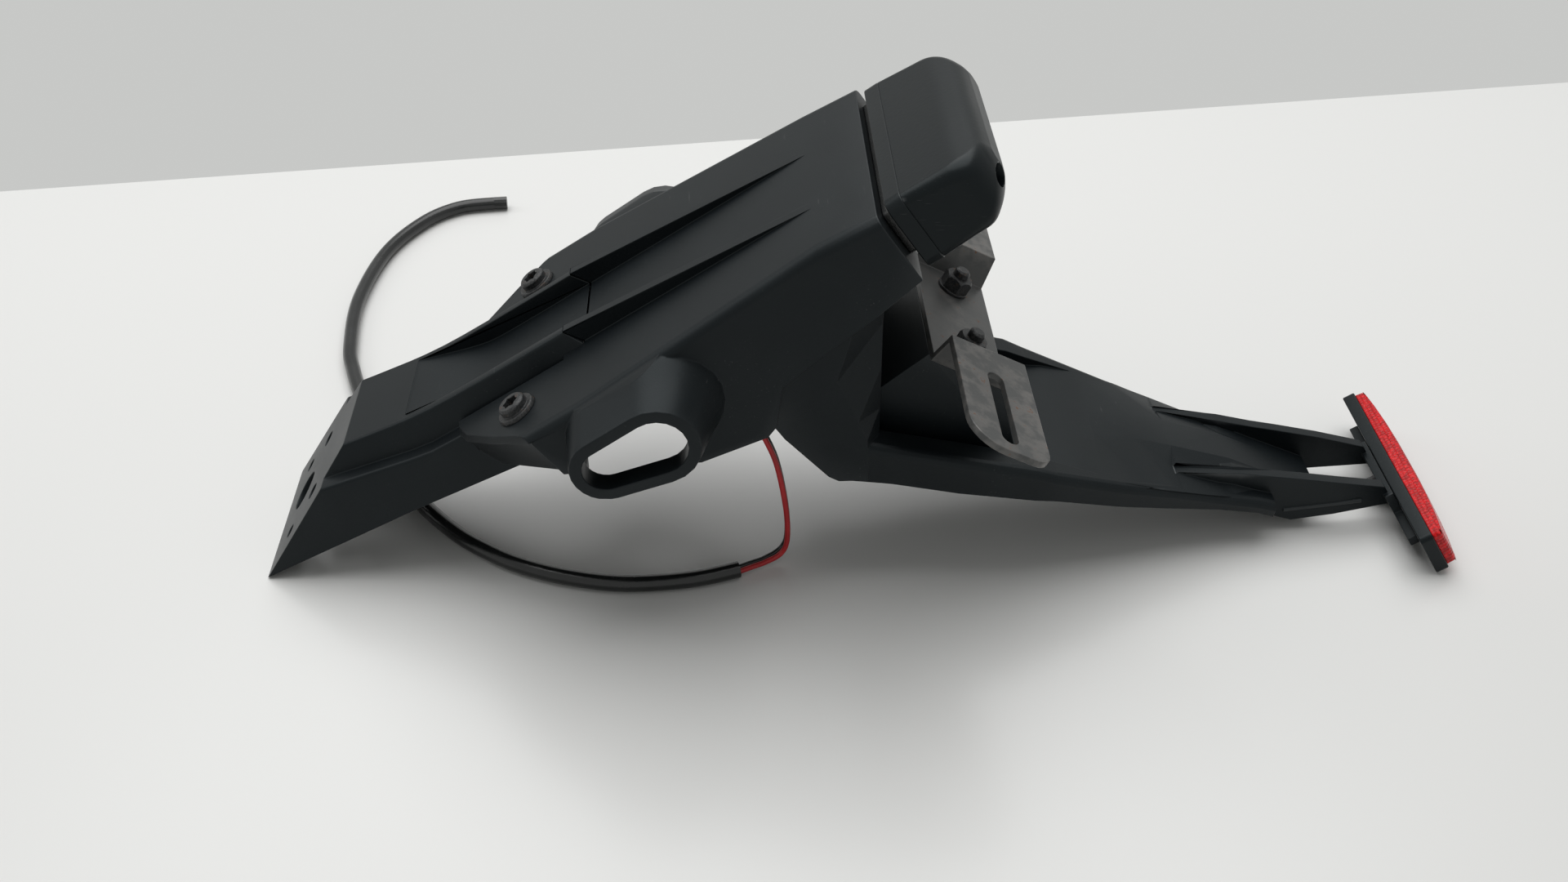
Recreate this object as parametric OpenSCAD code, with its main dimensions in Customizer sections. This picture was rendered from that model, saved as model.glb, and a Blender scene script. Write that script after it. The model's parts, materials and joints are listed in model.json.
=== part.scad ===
// Licence plate holder of a motorcycle, lying as it rests on a table.
// X runs from the mounting flange to the reflector, Y across, Z up.
// Profiles are drawn with X = 0 at the lower edge of the flange, and the
// whole object is then moved so that its middle lies over the origin.

/* [Mounting flange] */
// Lean of the flange face above the table, in degrees
flange_lean = 57; // [52:1:62]
// Length of the flange face along its slope
flange_h = 63; // [60:0.5:66]
// Thickness of the flange plate
flange_t = 3; // [2.5:0.25:4]
// Diameter of the cable hole in the flange
cable_hole_d = 16; // [12:1:18]
// Height of the cable hole along the flange
cable_hole_s = 19; // [17:0.5:21]
// Diameter of the upper pair of mounting holes
bolt_hole_d = 6.5; // [6:0.1:7]
// Distance between the upper mounting holes
bolt_pitch = 33; // [30:1:34]
// Height of the upper mounting holes along the flange
bolt_hole_s = 34; // [33:0.5:36]
// Diameter of the lower pair of mounting holes
low_hole_d = 5.3; // [5:0.1:6]
// Distance between the lower mounting holes
low_pitch = 41; // [38:1:43]
// Height of the lower mounting holes along the flange
low_hole_s = 15; // [12:0.5:17]

/* [Front carrier] */
// Wall thickness of the moulded carrier
carrier_wall = 2.5; // [2:0.25:3]
// Half width across the top ridge
ridge_half = 21.5; // [20:0.5:23]
// Half width at the foot of the ridge
ridge_foot_half = 25; // [24:0.5:26]
// Half width at the outer edge of the ledge
ledge_half = 30; // [28:0.5:31]
// Half width of the skirt at its lower edge
skirt_half = 33; // [32:0.5:35]
// Slope of the ridge near the flange, in degrees
front_slope = 22.5; // [20:0.5:25]
// Slope of the skirt's lower edge, in degrees
skirt_slope = 27.7; // [27:0.1:28.5]
// Width of each rib beside the sunk panel
rib_w = 4; // [3:0.25:5]
// Height of the ridge over the shoulder plane
ridge_rise = 8.4; // [7.5:0.1:9]
// Where the carrier ends under the rear housing
carrier_end = 126; // [124:1:128]

/* [Rear housing] */
// Slope of the shoulder plane, in degrees
shoulder_slope = 33; // [32:0.25:34]
// Height of the shoulder plane where it crosses X = 0
shoulder_z = 15; // [14:0.25:16]
// Where the ribs fade into the rear plateau
rib_tip_x = 204.5; // [200:0.5:208]
// Slope of the ribs and of the rear plateau, in degrees
plateau_slope = 28.6; // [28:0.1:29.2]
// Where the two mouldings meet on top of the ribs
split_x = 118; // [116:0.5:120]
// Wall thickness of the rear housing
housing_wall = 2.6; // [2:0.2:3.2]
// Thickness of the shoulder wings over the ledge
wing_t = 3; // [2.5:0.25:3.5]
// Radius of the long outer edges
edge_r = 4.5; // [4:0.5:6]
// Half width of the housing at its rear end
rear_half = 50; // [49:0.5:51]
// Half width of the housing beside the screws
front_half = 62; // [60:0.5:63]
// Height of the rear end, square to its slope
rear_depth = 26; // [24:0.5:28]
// Where the rear end's top edge lies
rear_x = 224; // [222:0.5:226]
// Tilt of the rear end face from upright, in degrees
rear_tilt = 35; // [33:0.5:37]

/* [Indicator stalks] */
// Reach of each stalk from the middle
stalk_reach = 77; // [74:0.5:80]
// Radius of the front lobe of the stalk
stalk_front_r = 12; // [11:0.25:13]
// Radius of the rear lobe of the stalk
stalk_rear_r = 14.7; // [13.5:0.1:15.5]
// Distance between the lobes along X
stalk_lobe_dx = 17.5; // [16:0.5:19]
// Height of the rear lobe over the front lobe
stalk_lobe_dz = 8.8; // [8:0.2:10]
// Width of the rim round the stalk's opening
stalk_rim = 4.3; // [3.5:0.1:5]
// Depth of the closed rim
stalk_rim_depth = 9; // [7:0.5:11]

/* [Lower arm] */
// Wall thickness of the lower arm
arm_wall = 3; // [2.5:0.25:3.5]
// Play on each side of the arm inside the housing
arm_play = 1.9; // [1.5:0.1:2.5]
// Half width of the arm at its nose
nose_half = 26; // [24:0.5:28]
// Where the arm starts to narrow
taper_x = 286; // [280:1:292]
// Where the nose ends
nose_x = 384; // [380:1:388]
// Half width of the trench between the side rails
trench_half = 34; // [32:0.5:35]
// Half width of the saddle under the plate bracket
saddle_half = 29; // [27:0.5:30]
// Half width over the two prongs at their ends
prong_half = 15.2; // [14:0.1:16]
// Thickness of each prong
prong_t = 4.6; // [4:0.2:5.2]
// Where the prongs end
prong_end = 429; // [428:0.5:430]
// Half length of the cross bar behind the reflector
bar_half = 35.5; // [33:0.5:38]
// Thickness of the cross bar
bar_t = 3.5; // [3:0.25:4]

/* [Plate bracket] */
// Thickness of the steel strip
strip_t = 2.5; // [2:0.25:3]
// Width of the strip
strip_w = 29.5; // [28:0.5:31]
// Downward slope of the strip, in degrees
strip_slope = 26.8; // [26:0.1:27.5]
// Half width of the lowered middle
strip_mid_half = 31.5; // [31:0.5:33]
// Half width where the wings start
strip_fold_half = 36; // [35.5:0.5:38]
// Height of the wings over the middle
strip_rise = 11.6; // [10:0.2:13]
// Half length of the whole strip
strip_half = 94.5; // [92:0.5:97]
// Radius of the large rounded corners
strip_corner_r = 13; // [11:0.5:15]
// Radius of the small rounded corners
strip_small_r = 6; // [4:0.5:8]
// Width of the plate slots
slot_w = 6.2; // [5.6:0.1:7]
// Length of the plate slots
slot_l = 39.5; // [36:0.5:40]
// Distance from the middle to the middle of a slot
slot_y = 70.2; // [69:0.2:70.6]
// Distance of each stud from the middle
stud_y = 21; // [19:0.5:22]
// Diameter of the bracket studs
stud_d = 6; // [5:0.5:6]

/* [Number plate lamp] */
// Half width of the lamp foot
lamp_half = 45.5; // [45:0.5:47]
// Height of the lamp foot, square to its slope
lamp_h = 28.5; // [28:0.5:30]
// Thickness of the lamp foot
lamp_foot_t = 6; // [5:0.25:7]
// Thickness of the seal behind the lamp foot
lamp_seal_t = 3; // [2.5:0.25:3.5]
// Length of the lamp body behind its foot
lamp_len = 29.8; // [29:0.1:31.5]
// Wall thickness of the lamp body
lamp_wall = 2; // [1.6:0.1:2.4]

/* [Reflector] */
// Length of the reflector
reflector_l = 94; // [90:1:98]
// Height of the reflector
reflector_h = 20; // [19:0.5:21]
// Thickness of the reflector's base
reflector_t = 5; // [4.5:0.25:5.5]
// How far the lens stands proud of its base
lens_proud = 3.8; // [3:0.2:4.4]
// Where the lower edge of the reflector's back lies
reflector_x = 443; // [442.5:0.1:443.5]
// Diameter of the reflector's stud
reflector_stud_d = 5; // [4:0.5:6]

/* [Fasteners] */
// Diameter of the wing screws
screw_d = 6; // [5:0.5:6]
// Diameter of the screw flange
screw_flange_d = 15; // [13:0.5:16]
// Diameter of the screw head
screw_head_d = 10.5; // [9.5:0.25:11]
// Distance of each wing screw from the middle
screw_y = 41.7; // [40.5:0.1:42.5]
// Where the wing screws stand along the shoulder
screw_x = 102.7; // [101:0.1:104]
// Play round a screw or stud in its hole
hole_play = 0.3; // [0.2:0.05:0.4]
// Size across the flats of the bracket nuts
nut_af = 10; // [9.5:0.5:11]
// Thickness of the bracket nuts
nut_t = 5; // [4.5:0.25:6]

/* [Cable] */
// Diameter of the cable sheath
sheath_d = 6.4; // [6:0.1:7]
// Diameter of each wire
wire_d = 2.1; // [1.9:0.1:2.4]

/* [Hidden] */

$fn = 40;
plastic = "#2b2d2e";
steel = "#34373a";
zinc = "#77746c";
red = "#c0141c";
rubber = "#18191a";
eps = 0.01;
seat_gap = 0.5;
lens_inset = 1;
lens_dome = 2;
lens_dome_in = 2.4;
far = 400;

flange_x = flange_h * cos(flange_lean);
flange_z = flange_h * sin(flange_lean);
wing_v = wing_t / cos(shoulder_slope);
reflector_out = reflector_x + (reflector_t + lens_proud + lens_dome) * sin(flange_lean)
    - (lens_inset + lens_dome_in) * cos(flange_lean);
arm_half = rear_half - housing_wall - arm_play;
mid_x = reflector_out / 2;

// Soft maximum of two heights, rounding the corner between two lines
function soft_max(a, b, r) = (a + b + sqrt((a - b) * (a - b) + r * r)) / 2;
// Height of the shoulder plane, and of the plateau behind the rib tips
function shoulder(x) = shoulder_z + tan(shoulder_slope) * x;
function plateau(x) = shoulder(rib_tip_x) + tan(plateau_slope) * (x - rib_tip_x);
function housing_top(x) = x < rib_tip_x ? shoulder(x) : plateau(x);
// Height of the carrier's ridge, of its sunk panel, of its ledge and of its skirt edge
function front_line(x) = flange_z + tan(front_slope) * (x - flange_x);
function ridge(x) = soft_max(front_line(x), shoulder(x) + ridge_rise, 3);
panel_x = 58;
panel_slope = 14.5;
function sunk_line(x) = ridge(panel_x) + tan(panel_slope) * (x - panel_x);
function panel(x) = min(ridge(x), soft_max(sunk_line(x), shoulder(x), 2));
ledge_slope = 20;
ledge_front_z = 36.5;
function ledge(x) = soft_max(ledge_front_z + tan(ledge_slope) * (x - flange_x / 2),
                             shoulder(x) - wing_v, 1);
function skirt(x) = tan(skirt_slope) * x;

// Moves a profile drawn from the flange's edge over the origin
module placed() { translate([-mid_x, 0, 0]) children(); }

// Plate of a side profile, drawn in X and Z, with a width across Y
module side_plate(profile, width) {
    rotate([90, 0, 0]) linear_extrude(height = width, center = true) polygon(profile);
}

// Solid through a row of convex rings that have the same number of points
module loft(rings) {
    n = len(rings[0]);
    m = len(rings);
    polyhedron(points = [for (r = rings) each r], faces = concat(
        [for (i = [0:m - 2], j = [0:n - 1]) let (a = i * n + j, b = i * n + (j + 1) % n)
            each [[a, b + n, b], [a, a + n, b + n]]],
        [[for (j = [0:n - 1]) j]],
        [[for (j = [n - 1:-1:0]) (m - 1) * n + j]]), convexity = 6);
}

// Upright cross section at x: half widths and heights of foot and top, edge radius
function section(x, foot_half, foot_z, top_half, top_z, r, n) = concat(
    [[x, -foot_half, foot_z], [x, foot_half, foot_z]],
    [for (i = [0:n]) let (a = 90 * i / n)
        [x, top_half - r + r * cos(a), top_z - r + r * sin(a)]],
    [for (i = [0:n]) let (a = 90 + 90 * i / n)
        [x, r - top_half + r * cos(a), top_z - r + r * sin(a)]]);

// Frame on the flange face: y across, s up its slope, z out of the face
module on_flange(y, s) {
    translate([s * cos(flange_lean), y, s * sin(flange_lean)]) rotate([0, -flange_lean, 0])
        children();
}

// Frame on the shoulder plane, with z square to it
module on_shoulder(x, y) {
    translate([x, y, shoulder(x)]) rotate([0, -shoulder_slope, 0]) children();
}

module both_sides() { children(); mirror([0, 1, 0]) children(); }

// Front carrier

carrier_xs = [-12, 20, 40, 54, 60, 68, 76, 86, 100, carrier_end];

// Ridge and skirt of the carrier, inset by a wall and raised by nothing
module carrier_form(inset) {
    loft([for (x = carrier_xs)
        section(x, ridge_foot_half - inset, ledge(x) - 6, ridge_half - inset,
                (inset > 0 ? panel(x) - flange_t : ridge(x)), 1.5, 2)]);
    loft([for (x = carrier_xs)
        section(x, skirt_half - inset + skirt_flare(x), skirt(x) - (inset > 0 ? 30 : 0),
                ledge_half - inset + skirt_flare(x), ledge(x) - (inset > 0 ? flange_t : 0), 1.5, 2)]);
}

function skirt_flare(x) = max(0, x - 60) * 0.05;

// Space in front of the flange face, moved back by a distance
module before_flange(back) {
    c = [cos(flange_lean), sin(flange_lean)];
    side_plate([c * -60 + [back, 0], c * 140 + [back, 0], c * 140 + [-far, 0], c * -60 + [-far, 0]],
               far);
}

split_drop = 3.7;
split_run = 7.2;

// Space behind the split line, moved by a distance along X
module behind_split(shift) {
    side_plate([[split_x + shift, ridge(split_x)],
                [split_x + shift + split_run, ridge(split_x) - split_drop],
                [split_x + shift + split_run, -far], [far * 2, -far], [far * 2, far],
                [split_x + shift - split_run, far], [split_x + shift - split_run,
                 ridge(split_x) + split_drop]], far);
}

// Line where the pods end and the housing's side wall starts
pod_top_x = 109;
pod_foot_x = 119;
pod_foot_z = 69;
module behind_pods(shift) {
    side_plate([[pod_top_x + shift, shoulder(pod_top_x) + 5], [pod_top_x + shift, shoulder(pod_top_x) - wing_v],
                [pod_foot_x + shift, pod_foot_z], [pod_foot_x + shift, -far], [far, -far],
                [far, far], [pod_top_x + shift, far]], far);
}

// Flared pod that carries a screw beside the skirt, from its foot ring to its top ring
module pod_loft(foot, top, foot_drop, top_drop) {
    loft([[for (p = foot) [p[0], p[1], 51.5 + (p[0] - 92) * 0.61 - foot_drop]],
          [for (p = top) [p[0], p[1], shoulder(p[0]) - wing_v - top_drop]]]);
}
module pod() {
    inner = ridge_foot_half + 1;
    pod_loft([[92, inner], [123, inner], [123, 57], [117.5, 57], [92, 32]],
             [[81, inner], [123, inner], [123, 61.5], [110, 61.5], [81, 33]], 0, 0);
}
// Hollow of the pod, open below and closed against the skirt's wall
module pod_hollow() {
    pod_loft([[102, 37], [120.5, 37], [120.5, 53], [118, 53], [102, 37.8]],
             [[88, 37], [120.5, 37], [120.5, 59], [111, 59], [88, 37.8]], 5, flange_t);
}

module screw_axis() {
    on_shoulder(screw_x, screw_y) translate([0, 0, -wing_t - flange_t - 12])
        cylinder(d = screw_d + 2 * hole_play, h = 30);
}

module front_carrier() color(plastic) placed() difference() {
    union() {
        difference() {
            carrier_form(0);
            side_plate(concat([for (x = [panel_x:4:carrier_end + 6]) [x, panel(x)]],
                              [[carrier_end + 6, 160], [panel_x, 160]]), 2 * (ridge_half - rib_w));
        }
        both_sides() difference() { pod(); behind_pods(-seat_gap); }
    }
    difference() {
        union() { carrier_form(carrier_wall); both_sides() pod_hollow(); }
        before_flange(flange_t / sin(flange_lean));
    }
    before_flange(0);
    behind_split(0);
    on_flange(0, cable_hole_s) cylinder(d = cable_hole_d, h = 20, center = true);
    for (side = [-1, 1]) {
        on_flange(side * bolt_pitch / 2, bolt_hole_s) cylinder(d = bolt_hole_d, h = 20, center = true);
        on_flange(side * low_pitch / 2, low_hole_s) cylinder(d = low_hole_d, h = 20, center = true);
    }
    both_sides() screw_axis();
}

// Rear housing

function housing_half(x) =
    x < 126 ? front_half : max(rear_half, front_half - (front_half - rear_half) * (x - 126) / 80);
housing_xs = [74, 100, 126, 150, 170, 190, rib_tip_x, 225, 262];

// Outer form of the housing, or its hollow where inset is above nothing
module housing_form(inset, roof) {
    loft([for (x = housing_xs)
        section(x, housing_half(x) - inset + 1, 20, housing_half(x) - inset,
                housing_top(x) - roof, edge_r - (inset > 0 ? 1.5 : 0), 4)]);
}

// Outline of a stalk: the tangent hull of two lobes, grown by g, at a distance y
lobe_x = 134.5;
lobe_z = 81.5;
lobe_steps = 11;
function egg(g, y, dx, dz) =
    let (d = norm([stalk_lobe_dx, stalk_lobe_dz]), t = atan2(stalk_lobe_dz, stalk_lobe_dx),
         r1 = stalk_front_r + g, r2 = stalk_rear_r + g, f = acos((r1 - r2) / d))
    concat(
        [for (i = [0:lobe_steps]) let (a = t - f + 2 * f * i / lobe_steps)
            [lobe_x + stalk_lobe_dx + dx + r2 * cos(a), y, lobe_z + stalk_lobe_dz + dz + r2 * sin(a)]],
        [for (i = [0:lobe_steps]) let (a = t + f + (360 - 2 * f) * i / lobe_steps)
            [lobe_x + r1 * cos(a) + dx, y, lobe_z + dz + r1 * sin(a)]]);

// Stalk on the positive side, from inside the housing's wall to its rim
module stalk_form(inset) {
    loft([for (s = [[0, 0, 0, 0], [3, 0.8, 0.3, 0.5], [9, 2, 1, 1.5], [14, 3.2, 1.6, 2.4],
                     [18, 4.4, 2.2, 3.2], [24, 5.5, 3, 4.2]])
        egg(s[1] - inset, stalk_reach - s[0] + (inset > 0 && s[0] == 0 ? 1 : 0), s[2], s[3])]);
}

// Lower edge of the housing seen from the side, closed above it
lip_x0 = 192;
module under_housing() {
    side_plate([[60, shoulder(60) - wing_v], [pod_top_x, shoulder(pod_top_x) - wing_v],
                [pod_foot_x, pod_foot_z], [128, 70], [166, 68.5], [lip_x0 - 3, 76], [lip_x0, 80],
                [lip_x0 + 2, 96], [216, 114.5], [226, 123], [240, 136.5], [280, 136],
                [280, -far], [60, -far]], far);
}

// Space behind the housing's rear end, moved along its slope
module behind_rear(shift) {
    translate([rear_x + shift * cos(rear_tilt), 0, housing_top(rear_x) + shift * sin(rear_tilt)])
        rotate([0, -rear_tilt, 0]) translate([0, -far / 2, -far / 2]) cube([far, far, far]);
}

module housing_ribs() {
    for (side = [-1, 1]) translate([0, side * (ridge_half - rib_w / 2), 0])
        side_plate([[split_x - 12, shoulder(split_x - 12)],
                    [split_x - 12, shoulder(rib_tip_x) - tan(plateau_slope) * (rib_tip_x - split_x + 12)],
                    [rib_tip_x, shoulder(rib_tip_x)], [rib_tip_x, shoulder(rib_tip_x) - 1],
                    [split_x - 12, shoulder(split_x - 12) - 1]], rib_w);
}

// Plan of the two wings in front, from the ridge out to the housing's side
module wing_plan() {
    linear_extrude(height = far) polygon(concat(
        [[78.5, ridge_foot_half], [79.5, 30.5], [83, 37.5], [94, 49], [102.5, 56.5], [108.5, front_half]],
        [[140, front_half + 30], [280, front_half + 30], [280, -front_half - 30],
         [140, -front_half - 30]],
        [[108.5, -front_half], [102.5, -56.5], [94, -49], [83, -37.5], [79.5, -30.5],
         [78.5, -ridge_foot_half]]));
}

module rear_housing() color(plastic) placed() difference() {
    union() {
        intersection() { housing_form(0, 0); wing_plan(); }
        difference() {
            both_sides() stalk_form(0);
            side_plate([[100, 40], [100, 200], [280, 200], [280, 40]], 2 * (front_half - 8));
            side_plate([[100, shoulder(100) - 1], [260, shoulder(260) - 1], [260, 300], [100, 300]],
                       far);
        }
        intersection() { housing_ribs(); wing_plan(); }
    }
    difference() {
        housing_form(housing_wall, wing_v);
        side_plate([[40, -10], [40, 200], [66, 200], [66, -10]], far);
        behind_rear(-housing_wall);
        both_sides() arm_boss();
    }
    both_sides() arm_screw_hole();
    at_lamp() {
        translate([-housing_wall - 1, 0, 0]) across(housing_wall + 2)
            polygon(round_rect(wire_gate_half, lamp_z - 7, lamp_z + 7, 4, 4));
        both_sides() lamp_screw_hole(-housing_wall - 8, housing_wall + 9);
    }
    both_sides() intersection() {
        stalk_form(stalk_rim * 0.75);
        translate([0, 0, -far / 2]) cube([far, stalk_reach - stalk_rim_depth, far]);
    }
    stalk_opening();
    under_housing();
    behind_rear(0);
    intersection() {
        side_plate([[60, 0], [60, 200], [far, 200], [far, 0]],
                   2 * (ridge_half + seat_gap));
        difference() { side_plate([[60, 0], [60, 200], [180, 200], [180, 0]], far);
                       behind_split(seat_gap); }
    }
    intersection() {
        side_plate([[60, 0], [60, 200], [split_x, 200], [split_x, 0]],
                   2 * (ridge_foot_half + seat_gap));
        side_plate([[60, 0], [60, 200], [split_x, 200], [split_x, 0]], far);
    }
    both_sides() screw_axis();
}

// The open eye through both stalks
module stalk_opening() {
    loft([egg(-stalk_rim, stalk_reach + 5, 0, 0), egg(-stalk_rim, -stalk_reach - 5, 0, 0)]);
}

// Draws a shape in Y and Z and extrudes it along X
module across(t) { rotate([90, 0, 90]) linear_extrude(height = t) children(); }

// Corner points of a rounded rectangle, n steps round each corner
function round_rect(half, z0, z1, r, n) = [
    for (c = [[half - r, z0 + r, -90], [half - r, z1 - r, 0], [r - half, z1 - r, 90],
              [r - half, z0 + r, 180]], i = [0:n])
        [c[0] + r * cos(c[2] + 90 * i / n), c[1] + r * sin(c[2] + 90 * i / n)]];

// Corner points of a regular polygon with n sides
function ring_of(r, n) = [for (i = [0:n - 1]) [r * cos(360 * i / n + 5), r * sin(360 * i / n + 5)]];

// Lower arm

boss_x = 206;
boss_y = 25;
boss_drop = 14;
boss_d = 13;
arm_screw_d = 5;

// Boss under the housing's roof that takes an arm screw
module arm_boss() {
    on_shoulder(boss_x, boss_y) translate([0, 0, -boss_drop]) cylinder(d = boss_d, h = boss_drop + 2);
}
module arm_screw_hole() {
    on_shoulder(boss_x, boss_y) translate([0, 0, -boss_drop - 1])
        cylinder(d = arm_screw_d, h = boss_drop - 3);
}

arm_front_x = 190.5;
arm_rear_x = 229;
arm_low = [[arm_front_x, 76], [195, 69.4], [210.7, 52.3], [214.3, 50.3]];
function arm_top(x) = shoulder(x) - boss_drop / cos(shoulder_slope);

// Plan of the column at a height: where its side ends and where its rear face starts
column_at = [[20, 226, 37], [68, 224, 37], [76, 220.5, 36.5], [93, 212.6, 35.5], [110, 217, trench_half],
             [160, 219, trench_half]];

// Column that stands up into the housing, inset by a wall
module column_form(inset) {
    w = inset * 1.1;
    low = inset > 0 ? 20 : 0;
    intersection() {
        side_plate([[arm_front_x + w, arm_low[0][1]], [arm_low[1][0] + w, arm_low[1][1] + w * 0.4],
                    [arm_low[2][0] + w * 0.9, arm_low[2][1] + w * 0.5],
                    [arm_low[3][0] + w * 0.5, arm_low[3][1] - low], [arm_rear_x - w, arm_low[3][1] - low],
                    [arm_rear_x - w, arm_top(arm_rear_x - w) - w],
                    [arm_front_x + w, arm_top(arm_front_x + w) - w]], far);
        loft([for (c = column_at) let (h = arm_half - inset)
            [[arm_front_x, -h, c[0]], [c[1] - inset * 0.4, -h, c[0]], [arm_rear_x, inset - c[2], c[0]],
             [arm_rear_x, c[2] - inset, c[0]], [c[1] - inset * 0.4, h, c[0]], [arm_front_x, h, c[0]]]]);
    }
}

// Stations of the beam: x, half width, shoulder height, height of its lower edge
beam_at = [
    [212, 45.5, 69, 51], [234, 45.5, 63.4, 47.6], [258, 45.5, 58.2, 42.6], [taper_x, 44.9, 51.8, 38],
    [294, 43.6, 48.4, 36.4], [320, 38.1, 38.9, 28.6], [340, 32.9, 32.1, 23], [362, 28, 24.4, 17.8],
    [377, 26.4, 20.8, 14.5], [nose_x, nose_half, 18.6, 12]];
beam_edge_r = 3;
trench_floor = [[arm_rear_x, 52], [262, 46.5], [280, 45.5], [300, 44.4], [317, 40.6]];

module beam_form() {
    loft([for (b = beam_at)
        section(b[0], b[1] - 1, b[3], b[1] - (arm_half - beam_at[0][1]), b[2], beam_edge_r, 3)]);
}

// Raised middle of the beam in front of the prongs
module beam_crown() {
    loft([for (c = [[314, 36, 8, 41, 1], [330, 34, 8, 38.6, 3.5], [345, 31, 8, 34.8, 4.8],
                    [368, 25.5, 8, 28.2, 5.9], [nose_x, 22, 8, 21, 4]])
        [[c[0], -c[1], c[3] - c[4]], [c[0], c[1], c[3] - c[4]], [c[0], c[2], c[3]],
         [c[0], -c[2], c[3]]]]);
}

// Space under the beam behind the trench, and a pocket under each rail
module beam_hollow() {
    loft([for (b = [for (i = [4:len(beam_at) - 2]) beam_at[i]])
        section(b[0] + (b[0] < 300 ? 8 : 0), b[1] - arm_wall, 0, b[1] - arm_wall - 1,
                b[2] - arm_wall * 1.3 - (b[0] < 300 ? 3 : 0), 2, 1)]);
    both_sides() loft([for (b = [beam_at[1], beam_at[2], beam_at[3]])
        [[b[0] + 2, trench_half + arm_wall - 1, b[3] - 9], [b[0] + 2, b[1] - arm_wall, b[3] - 9],
         [b[0] + 2, b[1] - arm_wall - 1, b[2] - arm_wall * 1.2],
         [b[0] + 2, trench_half + arm_wall - 1, b[2] - arm_wall * 1.2]]]);
}

// Seat of the plate bracket: where its underside starts, and where it ends
strip_x = 246.2;
strip_z = 93.4;
saddle_end_x = strip_x + strip_w * cos(strip_slope);
saddle_end_z = strip_z - strip_w * sin(strip_slope);
module saddle(inset) {
    side_plate([[226 + inset, 44 - inset * 6], [226 + inset, 76.6], [229 + inset * 0.5, 79 - inset * 0.5],
                [strip_x + inset * 0.2, strip_z - inset * 1.2],
                [saddle_end_x - inset * 0.9, saddle_end_z - inset],
                [280.5 - inset, 49], [280.5 - inset, 44 - inset * 6]],
               2 * (saddle_half - inset));
}

// Outer half width, top and underside of the prongs along X
prong_at = [[344, prong_half + 6.4, 34.4, 22], [370, prong_half + 4.3, 29.3, 16],
            [nose_x, prong_half + 3.3, 26.5, 8], [394, prong_half + 2.8, 24.8, 4.5],
            [411, prong_half + 1.9, 21.6, 6.2], [440, prong_half - 0.9, 15.6, 10.2]];
module prongs() {
    both_sides() difference() {
        union() {
            loft([for (q = prong_at) [[q[0], q[1] - prong_t, q[3]], [q[0], q[1], q[3]],
                                      [q[0], q[1], q[2]], [q[0], q[1] - prong_t, q[2]]]]);
            loft([for (q = [[390, prong_half + 2.7, 9.4], [421, prong_half + 0.8, 11.6]])
                [[q[0], q[1] - 1, q[2] - 0.3], [q[0], q[1] + 1, q[2]], [q[0], q[1] + 1, q[2] + 1.3],
                 [q[0], q[1] - 1, q[2] + 1.6]]]);
        }
        at_reflector() translate([-bar_t / 2, -far / 2, -far / 2]) cube([far, far, far]);
    }
    side_plate([[364, 28.2], [369, 27.2], [406, 12], [405, 8.6], [nose_x, 13.5], [364, 22]],
               2 * (prong_half + 1.5 - prong_t / 2));
}

bar_low = 8;
bar_top = 12;
bar_rise_half = 17;
bar_rise = 19;
reflector_stud_z = 10;
module cross_bar() {
    at_reflector() difference() {
        translate([-bar_t, 0, 0]) across(bar_t)
            polygon([[-bar_half, bar_low], [-16, 3], [16, 3], [bar_half, bar_low], [bar_half, bar_top],
                     [bar_rise_half + 3, bar_top], [bar_rise_half, bar_rise], [-bar_rise_half, bar_rise],
                     [-bar_rise_half - 3, bar_top], [-bar_half, bar_top]]);
        translate([-bar_t - 1, 0, reflector_stud_z]) rotate([0, 90, 0])
            cylinder(d = reflector_stud_d + 2 * hole_play, h = bar_t + 2);
    }
}

// Frame on the back of the reflector: x out of its face, z up its slope
module at_reflector() {
    translate([reflector_x, 0, 0]) rotate([0, flange_lean - 90, 0]) children();
}

// Frame on the underside of the bracket's strip: x down its slope, z square to it
module at_strip() {
    translate([strip_x, 0, strip_z]) rotate([0, strip_slope, 0]) children();
}

module lower_arm() color(plastic) placed() {
    difference() {
        union() {
            column_form(0);
            difference() {
                union() { beam_form(); beam_crown(); }
                side_plate(concat(trench_floor, [[317, 200], [arm_rear_x, 200]]), 2 * trench_half);
            }
            saddle(0);
        }
        column_form(arm_wall);
        saddle(arm_wall);
        beam_hollow();
        both_sides() on_shoulder(boss_x, boss_y) translate([0, 0, -boss_drop - 12])
            cylinder(d = arm_screw_d + 2 * hole_play, h = 13);
        at_strip() both_sides() translate([strip_w / 2, stud_y, -stud_grip - 1])
            cylinder(d = stud_d, h = stud_grip + 2);
        translate([arm_front_x - 1, grommet_y, grommet_z]) rotate([0, 90, 0])
            cylinder(d = grommet_d, h = arm_wall * 1.1 + 2);
    }
    prongs();
    cross_bar();
}

// Fasteners

star_points = 6;
// Six-lobed recess of a screw head
module star(d, depth) {
    linear_extrude(height = depth) polygon([for (i = [0:2 * star_points - 1])
        let (a = 180 * i / star_points, r = i % 2 == 0 ? d / 2 : d * 0.36) [r * cos(a), r * sin(a)]]);
}

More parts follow.
